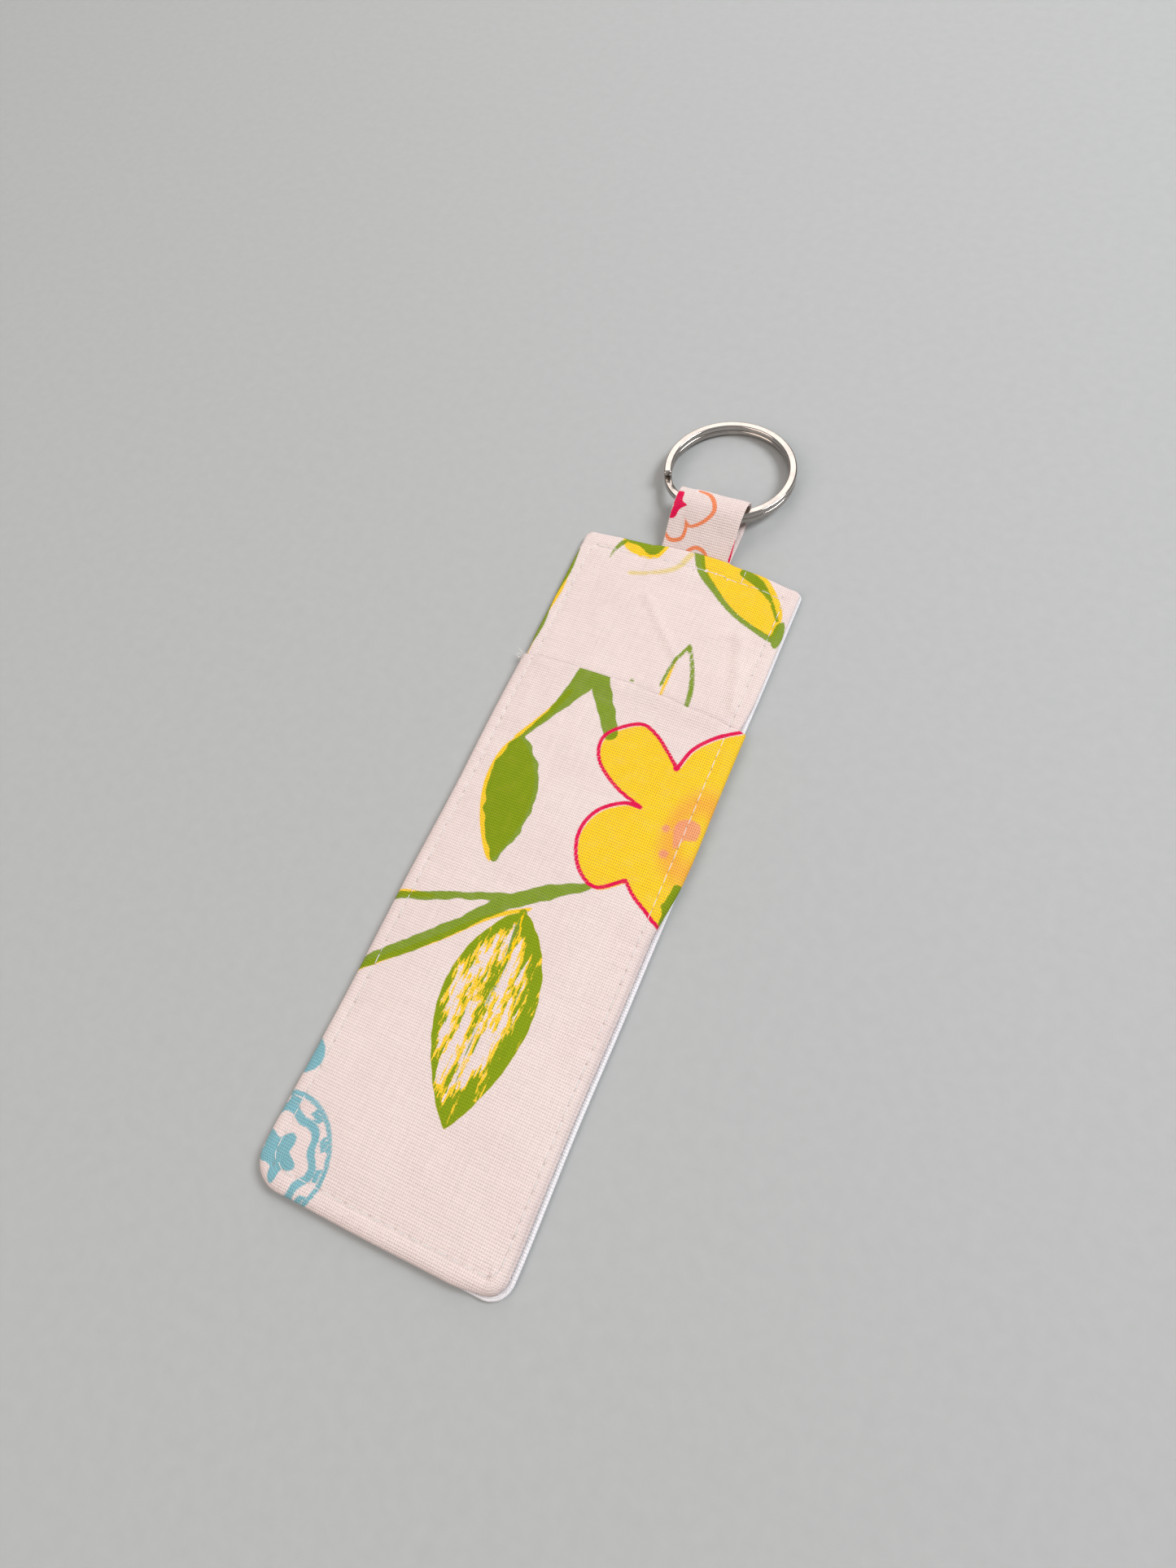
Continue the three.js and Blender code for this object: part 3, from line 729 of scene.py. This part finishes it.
def pocket_print(u, v):
    p = flat_points(u, v)
    petals = spline([
        (16, 100.3, 1), (13, 103), (9.5, 105.7), (6, 107), (2.6, 105.4), (-0.2, 102.6), (-0.6, 99.6),
        (1.4, 95.8), (6.6, 92.2), (12.6, 90, 1), (9, 89.7), (5, 86.6), (3.3, 82), (4.2, 77.4), (7, 73.4),
        (11, 71.8), (15.6, 75.2, 1), (18, 73), (21, 71.2), (25, 69.2), (31, 70), (36, 78), (34, 92),
        (36, 104), (29, 114), (24, 111.8), (20, 108.6), (17.3, 105)])
    flower = inside(p, petals)
    fill = inside(p + np.array([-0.5, 0.35]), petals)
    branch = nearest(
        brush(p, [(-8.6, 114.9), (-10.3, 110), (-12.6, 104), (-16.3, 96)], [6.2, 3.6, 1.6, 0.9]),
        brush(p, [(-7, 114.6), (-4.6, 110.6), (-1.6, 106.2), (0.5, 102.8)], [4.2, 3.8, 3.4, 3]),
        inside(p, np.array([(-12, 115.4), (-5.2, 115.5), (-6.2, 112.2), (-10.6, 112.6)])))
    stem = nearest(
        brush(p, [(9.5, 71.4), (4.5, 68.6), (-1, 64.6), (-5, 61.8), (-9.5, 56.6), (-16, 50), (-26.5, 40.6)],
              [1.6, 3, 3.2, 2.6, 2.9, 2.6, 2]),
        brush(p, [(-2, 64.2), (-10, 61.6), (-19, 58.4), (-27, 55.6)], [2, 1.5, 1.9, 1.2]))
    small_leaf = leaf_outline((-16.4, 96.2), (-10, 69.2), 4.6, 6.2, 1.2)
    big_leaf = leaf_outline((0.1, 62.4), (3.9, 21.4), 9, 9.4, -0.4)
    core = leaf_outline((0.2, 60.6), (1.6, 24), 7.2, 7.8, -0.2)
    vein = brush(p, [(0.1, 62), (1.2, 50), (1.5, 38), (2.6, 27)], [1.6, 0.7, 0.4, 0.2])
    rim_patch = inside(p, np.array([(24.6, 78), (30, 78), (30, 68), (24.9, 69.4), (23.9, 73.4)]))
    ragged = 0.22 * waves(p[:, 0], p[:, 1], 2.6, 91)
    # Yellow shows where the green is printed a little off it.
    slip = p + np.array([0.75, 0.45])
    under = nearest(
        inside(slip, small_leaf),
        brush(p, [(-11.4, 109), (-14, 102), (-17.6, 95.4)], [1.2, 1.4, 0.9]),
        brush(p, [(-18, 58.6), (-23, 57.4), (-27, 56)], [0.6, 1.4, 1.6]),
        brush(p, [(1, 63.2), (-6, 58.6), (-14, 50.6), (-27, 39.4)], [0.7, 1.3, 1.2, 1.2]))
    heart = nearest(
        blob(p, [(20.2, 89.4), (22, 91.2), (24.8, 90.6), (25, 87.6), (22.8, 86.6), (21.8, 84.4),
                 (20.8, 86.2)]),
        dot(p, 18.7, 87.8, 0.8), dot(p, 20.2, 82.8, 0.9))
    glow = np.abs(np.hypot(p[:, 0] - 24.5, (p[:, 1] - 88) / 1.6) - 4.6) - 1.6
    return {
        "green": nearest(branch + 0.5 * ragged, inside(p, small_leaf) + ragged, stem + 0.7 * ragged, vein,
                         rim_patch + ragged),
        "yellow": nearest(fill, under),
        "line": nearest(np.abs(flower) - 0.4, dot(p, 15.9, 100.4, 0.7)),
        "orange": np.where(flower < 0, glow, FAR),
        "coral": heart,
        "teal": nearest(rosette(p, -22.4, 5.4), dot(p, -26.2, 23, 3.5)),
        "leaf": inside(p, big_leaf) + 0.35 * ragged,
        "leaf_core": inside(p, core),
    }


def front_print(u, v):
    p = flat_points(u, v)
    green = nearest(
        brush(p, [(-0.4, 153), (3, 146.3), (8, 142.3), (14, 138.1), (20, 136.2), (24, 135.6)],
              [2.4, 2, 1.4, 1.2, 1.2, 1.6]),
        brush(p, [(12.2, 148.9), (16, 147.4), (19.6, 144.8), (22.6, 140.8)], [2.4, 2.2, 0.9, 0.8]),
        blob(p, [(-17.4, 151.6), (-15.4, 149), (-12.6, 148.6), (-9.6, 147), (-7.4, 147.6), (-7, 152),
                 (-12, 154)]),
        brush(p, [(-16.2, 148.6), (-17.2, 146.4), (-17.4, 143.8)], [1.3, 0.8, 0.5]),
        blob(p, [(22.8, 139.4), (24.2, 140.8), (25.2, 137), (24.4, 133.8), (22.9, 135.4)]),
        brush(p, [(8, 127.8), (10.4, 122.6), (12, 117.6), (12.6, 112)], [0.7, 0.95, 1.1, 0.9]),
        brush(p, [(7.9, 127.8), (6.2, 123), (5.6, 117)], [0.8, 0.8, 0.7]),
        dot(p, -0.4, 116.2, 0.5),
        brush(p, [(-25.2, 144), (-25.1, 138), (-25.6, 130), (-25.1, 122), (-25.4, 116)],
              [0.6, 1.6, 0.8, 1.7, 0.8]))
    yellow = nearest(
        blob(p, [(0.4, 152, 1), (3.2, 146.4), (8.4, 142.6), (14, 138.6), (20, 136.6), (23.2, 136, 1),
                 (23.5, 141), (21.9, 145), (18, 148.8), (12.5, 152)]),
        blob(p, [(-16.4, 152), (-15.6, 147.6), (-11, 146), (-6.8, 146.8), (-6.6, 153)]),
        brush(p, [(6.6, 123.6), (6.3, 119.6), (6.6, 114)], [0.5, 0.7, 0.7]),
        brush(p, [(-25.6, 143), (-25, 133), (-25.4, 125), (-25.2, 112)], [1, 1.7, 0.8, 1.5]))
    pale = brush(p, [(-11.6, 141.4), (-7, 142.6), (-2.4, 144.8), (-0.4, 149)], [1.1, 0.8, 1.2, 1.4])
    return {"green": green, "yellow": yellow, "pale": pale}


# ---- front panel ----
def pocket_inset(u, v):
    """Along the right side the seam rolls forward low down, so the back's rim shows, and back higher up."""
    low = 1.25 * smooth(v, -9, 5) * (1 - smooth(v, 62, 78))
    return smooth(u, 15, 23) * (low - 0.5 * smooth(v, 70, 84))


def front_inset(u, v):
    """The front's rim is tucked in under the pocket's, and a little along the right side."""
    return 0.12 + 0.6 * (1 - smooth(v, 112, 121)) + 0.28 * smooth(u, 8, 22)


front_panel = Panel(FRONT_Z, SEAM_Z + SEAM_GAP, 0.95, front_inset)
across_u = mirrored(stations(HALF_WIDTH, front_panel, 0.3, 0.7))
lower = stations(MIDDLE, front_panel, 0.35, 2.0)
upper = stations(MIDDLE, front_panel, 0.3, 0.7)
rows_v = np.concatenate([MIDDLE - lower[:0:-1], np.linspace(MIDDLE, 108, 16), MIDDLE + upper[upper > 33.5]])
U, V = np.meshgrid(across_u, rows_v)
points = front_panel.points(U, V)
holes = np.where(V > 100, needle_distance(points), FAR)  # the pocket covers the rest
sleeve_front = sleeve_cloth("front_cloth", points, np.stack([U, V], -1), CLOTH, 1,
                            "front_cotton", ["front_panel"], {**front_print(U, V), "needle": holes})

# ---- pocket panel: two layers, folded at the mouth ----
LAYER_GAP = 0.45
INNER_FROM = 1.8  # past this much of the fold's turn, in radians, the cloth is the inner layer
LIP_RISE, LIP_SWING, LIP_REACH = 0.58, 0.16, 3.2

pocket_panel = Panel(POCKET_Z, SEAM_Z + SEAM_GAP, 1.8, pocket_inset)
across_u = mirrored(stations(HALF_WIDTH, pocket_panel, 0.28, 0.55))
below = MIDDLE - stations(MIDDLE, pocket_panel, 0.28, 0.55)[:0:-1]
mouth = float(mouth_at(np.zeros(1))[0])
outer = np.concatenate([below, np.arange(MIDDLE, mouth - 0.3, 0.55), [mouth]])
fold_turn = np.linspace(0, np.pi, 9)[1:]
deeper = mouth - np.concatenate([[0.4, 0.8, 1.4], np.linspace(2.4, mouth - 2.5, 44)])
U, V = np.meshgrid(across_u, np.concatenate([outer, np.full(len(fold_turn), mouth), deeper]))
mouth_line = mouth_at(np.clip(U, -HALF_WIDTH, HALF_WIDTH))
V = V + (mouth_line - mouth) * np.clip((V - 20) / (mouth - 20), 0, 1)
into = np.concatenate([np.zeros(len(outer)), fold_turn, np.full(len(deeper), np.pi)])[:, None]
depth = np.concatenate([np.zeros(len(outer) + len(fold_turn)), mouth - deeper])[:, None]
# The inner layer draws in from the rims below the mouth.
limit = HALF_WIDTH + pocket_panel.excess - 1.4
drawn = U * (1 - smooth(depth, 0, 4) * (1 - limit / np.abs(across_u).max()))
points = pocket_panel.points(drawn, V)
points = points - pocket_panel.normals(drawn, V) * LAYER_GAP / 2 * (1 - np.cos(into[..., None]))
points[..., 1] += LAYER_GAP / 2 * np.sin(into)
lip = np.exp(-((mouth_line - V) / LIP_REACH) ** 2) * smooth(HALF_WIDTH - np.abs(U), 1, 7)
points[..., 2] += lip * (LIP_RISE + LIP_SWING * waves(U, 0, 16, 31))
inner = np.broadcast_to(into > INNER_FROM, U.shape)
values = {**pocket_print(U, V), "needle": needle_distance(points)}
values = {k: np.where(inner.ravel(), FAR, np.ravel(v)) for k, v in values.items()}
flat = np.stack([U, np.where(inner, 2 * mouth_line - V, V)], -1)
pocket = sleeve_cloth("pocket_cloth", points, flat, POCKET_CLOTH, 1,
                      "pocket_cotton", ["pocket_panel"], values)

# ---- back panel ----
back_panel = Panel(0.0, SEAM_Z - SEAM_GAP, 1.0, lambda u, v: 0 * u, side=-1)
across_u = mirrored(stations(HALF_WIDTH, back_panel, 0.3, 1.0))
U, V = np.meshgrid(across_u, MIDDLE + mirrored(stations(MIDDLE, back_panel, 0.3, 1.0)))
points = back_panel.points(U, V)
back = sleeve_cloth("back_cloth", points, np.stack([U, V], -1), CLOTH, -1,
                    "back_cotton", ["back_panel"], {"needle": needle_distance(points)})


# ---- interlining ----
def batt():
    """Fleece cut to lie between the turned-in edges, with softened rims."""
    inset, low, high, edge_drop = ALLOWANCE + 0.5, 0.62, 1.62, 0.35
    u = np.linspace(-HALF_WIDTH + inset, HALF_WIDTH - inset, 30)
    v = np.linspace(inset, LENGTH - inset - 1, 90)
    U, V = np.meshgrid(u, v)
    edge = np.minimum(np.minimum(U - u[0], u[-1] - U), np.minimum(V - v[0], v[-1] - V))
    drop = edge_drop * (1 - smooth(edge, 0, 1.5))
    top = np.stack([U, V, high + 0.08 * waves(U, V, 9, 41) - drop], -1)
    under = np.stack([U, V, low + drop + 0.05 * waves(U, V, 11, 42)], -1)
    vertices = np.concatenate([top.reshape(-1, 3), under.reshape(-1, 3)]) + SLEEVE
    return make("fleece_batt", vertices, solid_faces(*U.shape), np.concatenate([flat_points(U, V)] * 2),
                "fleece", ["interlining"])


padding = batt()


# ---- stitches ----
def tube(path, radius, sides=8):
    """A round tube along a path, with narrowed ends: vertices, faces and flat coordinates."""
    run = unit(np.gradient(path, axis=0))
    side = unit(np.cross(run, (0, 0, 1)))
    top = np.cross(side, run)
    size = np.full(len(path), radius)
    size[[0, -1]] *= 0.45
    angle = np.linspace(0, 2 * np.pi, sides, endpoint=False)
    ring = np.cos(angle)[:, None] * side[:, None] + np.sin(angle)[:, None] * top[:, None]
    vertices = (path[:, None] + size[:, None, None] * ring).reshape(-1, 3)
    flat = np.stack(np.meshgrid(angle * radius, lengths(path)), -1).reshape(-1, 2)
    return vertices, tube_faces(len(path), sides), flat


def thread_piece(name, tubes, replaces=(), lowest=-math.inf):
    """One piece on the sleeve made of many tubes."""
    faces, count = [], 0
    for vertices, tube_face, _ in tubes:
        faces += [[i + count for i in face] for face in tube_face]
        count += len(vertices)
    vertices = np.concatenate([t[0] for t in tubes])
    vertices[:, 2] = np.maximum(vertices[:, 2], lowest)
    return make(name, vertices + SLEEVE, faces, np.concatenate([t[2] for t in tubes]), "thread", replaces)


def outer_surface(x, y):
    """The face that the top thread lies on."""
    on_pocket = y < mouth_at(x) + 0.2
    return np.where(on_pocket[:, None], pocket_panel.points(x, y), front_panel.points(x, y))


def stitches(points, surface, side):
    """A short tube from each point to the next, which dips into the cloth at both ends."""
    rng = np.random.default_rng(51)
    tubes = []
    for a, b in zip(points[:-1], points[1:]):
        t = np.linspace(0.10, 0.90, 7) + rng.uniform(-0.02, 0.02)
        skew = rng.uniform(-0.09, 0.09)
        run = b - a
        normal = np.array([-run[1], run[0]]) / np.linalg.norm(run)
        xy = a + t[:, None] * run + (skew * (t - 0.5))[:, None] * normal
        place = surface(xy[:, 0], xy[:, 1])
        rise = STITCH_RADIUS * (0.55 - 1.9 * np.abs(2 * t - 1) ** 4)
        place[:, 2] = place[:, 2].mean() * 0.6 + place[:, 2] * 0.4 + side * rise
        tubes.append(tube(place, STITCH_RADIUS * rng.uniform(0.92, 1.08)))
    return tubes


back_tack = np.stack([np.full(3, 12.2), np.array([146.2, 147.9, 149.4])], -1)
thread_piece("top_stitches", stitches(needles, outer_surface, 1) + stitches(back_tack, outer_surface, 1),
             ["topstitch_thread"])
thread_piece("bobbin_stitches", stitches(needles, back_panel.points, -1), ["bobbin_thread"], lowest=0.02)


LOOSE_YARNS = 34


def frayed_ends():
    """Loose yarn ends at the left end of the pocket's mouth."""
    rng = np.random.default_rng(61)
    left = mouth_at(np.array([-HALF_WIDTH]))
    corner = pocket_panel.points(np.array([-26.2]), left + 0.1)[0]
    tubes = []
    for _ in range(LOOSE_YARNS):
        start = corner + rng.uniform((0.0, -0.9, -0.5), (1.1, 0.15, 0.1))
        reach = rng.uniform(0.8, 2.3)
        aim = np.array([-rng.uniform(0.5, 1.0), rng.uniform(-0.25, 0.6), rng.uniform(-0.1, 0.35)])
        curl = rng.uniform(-0.6, 0.6, 3)
        t = np.linspace(0, 1, 6)[:, None]
        tubes.append(tube(start + reach * t * aim + reach * t * t * curl, rng.uniform(0.035, 0.075), 5))
    return tubes


fray = thread_piece("frayed_yarns", frayed_ends())

seam_thread = frame["nodes"]["seam_thread"]
seam_thread.data.materials.clear()
seam_thread.data.materials.append(MATERIALS["thread"])

# ---- the folded loop, one strip with its sewn-in tails ----
TAB_PATH = [  # along the tab from the hinge, and height off its middle plane
    (-7.6, 0.27), (-3.0, 0.27), (-1.0, 0.30), (0.6, 0.44), (4.0, 1.45), (8.0, 2.66), (10.7, 2.93),
    (13.05, 2.2), (14.02, 0.0), (13.05, -2.3), (10.7, -3.06), (8.0, -2.82), (4.0, -1.52), (0.6, -0.44),
    (-1.0, -0.30), (-3.0, -0.27), (-7.6, -0.27)]
RAW_EDGE_TOP, RAW_EDGE_UNDER = -4.3, -6.6  # where the two inner flaps of the folded strip end
INNER_LAYER, OUTER_LAYER = 0.094, 0.284  # height of the layers' middles off the strip's middle
LIP_BEND = 0.095
EDGE_REACH = LIP_BEND * 1.7
LIP_TOP, LIP_UNDER = TAB_WIDTH / 2 - 0.3, TAB_WIDTH / 2 - 0.42  # the two folded edges on the right
FOLD_AT, FOLD_WIDTH = -TAB_WIDTH / 2 + 0.4, 0.3


def tab_section():
    """The strip's folded cloth, raw edge to raw edge: a closed outline, the way round it, and its width."""
    def layer(start, end, height, count):
        return [(q, height) for q in np.linspace(start, end, count)]

    def bend(q, height, reach, rise, count):
        turns = np.linspace(0.4, math.pi - 0.4, count)
        return [(q + reach * math.sin(a), height + rise * math.cos(a)) for a in turns]

    between = (INNER_LAYER + OUTER_LAYER) / 2
    line = np.array([
        *layer(RAW_EDGE_TOP, LIP_TOP, INNER_LAYER, 14),
        *bend(LIP_TOP, between, EDGE_REACH, -LIP_BEND, 6),
        *layer(LIP_TOP, FOLD_AT, OUTER_LAYER, 46),
        *bend(FOLD_AT, 0, -FOLD_WIDTH, OUTER_LAYER, 7),
        *layer(FOLD_AT, LIP_UNDER, -OUTER_LAYER, 22),
        *bend(LIP_UNDER, -between, EDGE_REACH, -LIP_BEND, 6),
        *layer(LIP_UNDER, RAW_EDGE_UNDER, -INNER_LAYER, 14),
    ])
    # The outer layer settles past the raw edge beneath it.
    line[:, 1] -= 0.13 * (1 - smooth(line[:, 0], RAW_EDGE_TOP - 0.7, RAW_EDGE_TOP)) * (line[:, 1] > 0.2)
    run = unit(np.gradient(line, axis=0))
    side = np.stack([run[:, 1], -run[:, 0]], -1) * TAB_CLOTH / 2
    way = lengths(line)
    return np.concatenate([line + side, (line - side)[::-1]]), np.concatenate([way, way[::-1]]), way[-1]


def tab_print(p, outer):
    """The print, measured across from the strip's middle and along the upper leg from the hinge."""
    petal = nearest(
        blob(p, [(-8.4, 6.2), (-7.8, 8.6), (-8.6, 11.6), (-6.6, 12.4), (-6.2, 10.4), (-4.9, 9.6), (-6.2, 8.4),
                 (-6.8, 6.4)]),
        stroke(p, np.array([(8.1, 0.4), (8.1, 5.2)]), [0.9, 0.5]))
    arcs = nearest(
        brush(p, [(-3.4, 13.6), (-0.4, 12.8), (1.4, 10), (0, 7.2), (-2.6, 5.4), (-3.6, 6)],
              [0.7, 0.9, 1, 0.9, 0.8, 0.5]),
        brush(p, [(-8.4, 3.2), (-6.4, 1.6), (-4, 2.4), (-3.6, 4.6), (-4.2, 6.6)], [0.5, 0.9, 0.9, 0.8, 0.4]),
        brush(p, [(-2.4, -0.6), (-0.4, 1.2), (1.6, 1), (3.2, -0.4)], [0.7, 0.9, 0.9, 0.6]))
    return {"orange": np.where(outer, arcs, FAR), "line": np.where(outer, petal, FAR),
            "wrong_side": np.zeros(len(p))}


def tab_strip():
    """The loop and its tails, and the size that the strip was cut to."""
    path = spline(TAB_PATH, closed=False)
    run = unit(np.gradient(path, axis=0))
    way = lengths(path)[:, None]
    section, across_cloth, cut_width = tab_section()
    rows, columns = len(path), len(section)
    q = np.broadcast_to(section[:, 0], (rows, columns))
    squeezed = 0.66 + 0.34 * smooth(path[:, :1], -0.8, 1.4)  # flattened where it enters the seam
    w = section[:, 1] * squeezed + 0.05 * waves(q, way, 6, 71) * squeezed
    q = q + 0.10 * waves(way, q * 0.05, 9, 72)
    a = path[:, :1] - run[:, 1:] * w
    h = path[:, 1:] + run[:, :1] * w
    y, z = turned(a, h, TAB_RISE)
    in_seam = smooth(-a, 0.2, 1.4)  # the tails lie level in the seam
    y, z = y * (1 - in_seam) + a * in_seam, z * (1 - in_seam) + h * in_seam
    points = np.stack([q + TAB_MIDDLE, y + hinge.y, z + hinge.z], -1)
    flat = np.stack(np.broadcast_arrays(across_cloth[None], way), -1)
    upper_leg = rows // 2
    at_hinge = np.interp(0.0, path[:upper_leg, 0], way[:upper_leg, 0])
    outer = np.broadcast_to(section[:, 1] > INNER_LAYER * 2, q.shape).ravel()
    values = tab_print(flat_points(q, way - at_hinge + 0 * q), outer)
    piece = make("loop_strip", points.reshape(-1, 3), tube_faces(rows, columns), flat.reshape(-1, 2),
                 "tab_cotton", ["tab_loop", "tab_tails"], values, body=None)
    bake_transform(piece)
    return piece, (cut_width * MM, way[-1, 0] * MM)


strip, strip_cut = tab_strip()


# ---- the split ring ----
def wire_section():
    """A rounded rectangle, and how near each point is to the middle of a rounded edge."""
    half_w, half_h, edge_radius = WIRE_ACROSS / 2, WIRE_ALONG / 2, 0.40
    points, edge = [], []
    for cx, cz, start in ((1, 1, 0), (-1, 1, 90), (-1, -1, 180), (1, -1, 270)):
        for k in range(6):
            a = math.radians(start + 18 * k)
            points.append((cx * (half_w - edge_radius) + edge_radius * math.cos(a),
                           cz * (half_h - edge_radius) + edge_radius * math.sin(a)))
            edge.append(math.sin(math.radians(36 * k)))
    return np.array(points), np.array(edge)


def split_ring():
    """One wire wound twice; it climbs from coil to coil at its left, beside the loop."""
    jog_middle, half_jog = 223.0, 18.0
    low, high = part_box("split_ring")
    centre = (low + high) / 2 / MM
    lean = math.atan2(centre.z - pivot.z, centre.y - pivot.y)
    coil = 360 - 2 * half_jog
    degrees = np.linspace(0, 2 * coil + 2 * half_jog, 420)
    climb = (smooth(degrees, coil, coil + 2 * half_jog) - 0.5)[:, None]
    angle = np.radians(degrees + half_jog + jog_middle)[:, None]
    size = np.ones((len(degrees), 1))
    size[[0, -1]] = 0.82  # the ground wire ends
    section, edge = wire_section()
    radius = RING_RADIUS + section[:, 0] * size
    y, z = turned(radius * np.sin(angle), section[:, 1] * size + climb * COIL_STEP, lean)
    points = np.stack([radius * np.cos(angle) + centre.x, y + centre.y, z + centre.z], -1)
    rows, columns = radius.shape
    girth = np.linspace(0, 5, columns)
    flat = np.stack(np.meshgrid(girth, np.radians(degrees) * RING_RADIUS), -1)
    return make("ring_wire", points.reshape(-1, 3), tube_faces(rows, columns), flat.reshape(-1, 2),
                "nickel_wire", ["split_ring"], {"edge": np.broadcast_to(edge, radius.shape)}, "ring")


ring = split_ring()

# ---- floor and light ----
HALF_FLOOR = 1.5
floor_mesh = bpy.data.meshes.new("floor")
floor_mesh.from_pydata([(x * HALF_FLOOR, y * HALF_FLOOR, 0) for x, y in ((-1, -1), (1, -1), (1, 1), (-1, 1))],
                       [], [(0, 1, 2, 3)])
floor = bpy.data.objects.new("floor", floor_mesh)
bpy.context.scene.collection.objects.link(floor)
floor_nodes = Nodes("floor")
place = floor_nodes.add("ShaderNodeTexCoord").outputs["Object"]
grain = floor_nodes.noise(place, 400)
grey = floor_nodes.mix(grain, (0.40, 0.41, 0.405, 1), (0.44, 0.45, 0.445, 1))
floor_nodes.feed(floor_nodes.shader, Base_Color=grey, Roughness=0.75)
floor_mesh.materials.append(MATERIALS["floor"])


def area_light(name, place, size, power, colour):
    """A square light that points at the origin."""
    light = bpy.data.lights.new(name, "AREA")
    light.shape, light.size, light.energy, light.color = "SQUARE", size, power, colour
    holder = bpy.data.objects.new(name, light)
    holder.location = place
    holder.rotation_euler = (-Vector(place)).to_track_quat("-Z", "Y").to_euler()
    bpy.context.scene.collection.objects.link(holder)


area_light("key", (0.62, 0.48, 0.85), 0.45, 10.0, (0.95, 0.975, 1.0))
area_light("warm", (-0.55, -0.65, 0.75), 0.9, 5.4, (1.0, 0.87, 0.78))
area_light("back", (-0.35, 0.95, 0.6), 0.7, 3.0, (1.0, 0.94, 0.90))

HORIZON = (0.60, 0.59, 0.58, 1)
world = bpy.data.worlds.new("studio")
world.use_nodes = True
sky = world.node_tree
up = sky.nodes.new("ShaderNodeSeparateXYZ")
sky.links.new(sky.nodes.new("ShaderNodeTexCoord").outputs["Generated"], up.inputs[0])
ramp = sky.nodes.new("ShaderNodeValToRGB")
sky.links.new(up.outputs["Z"], ramp.inputs[0])
tones = ramp.color_ramp.elements
tones[0].color, tones[1].color = HORIZON, (1.0, 1.0, 1.0, 1)
for height, tone in ((0.07, HORIZON), (0.30, (0.26, 0.235, 0.22, 1)), (0.62, (0.92, 0.95, 1.0, 1))):
    tones.new(height).color = tone
sky.links.new(ramp.outputs[0], sky.nodes["Background"].inputs["Color"])
sky.nodes["Background"].inputs["Strength"].default_value = 0.45
bpy.context.scene.world = world
bpy.context.scene.view_settings.view_transform = "Standard"
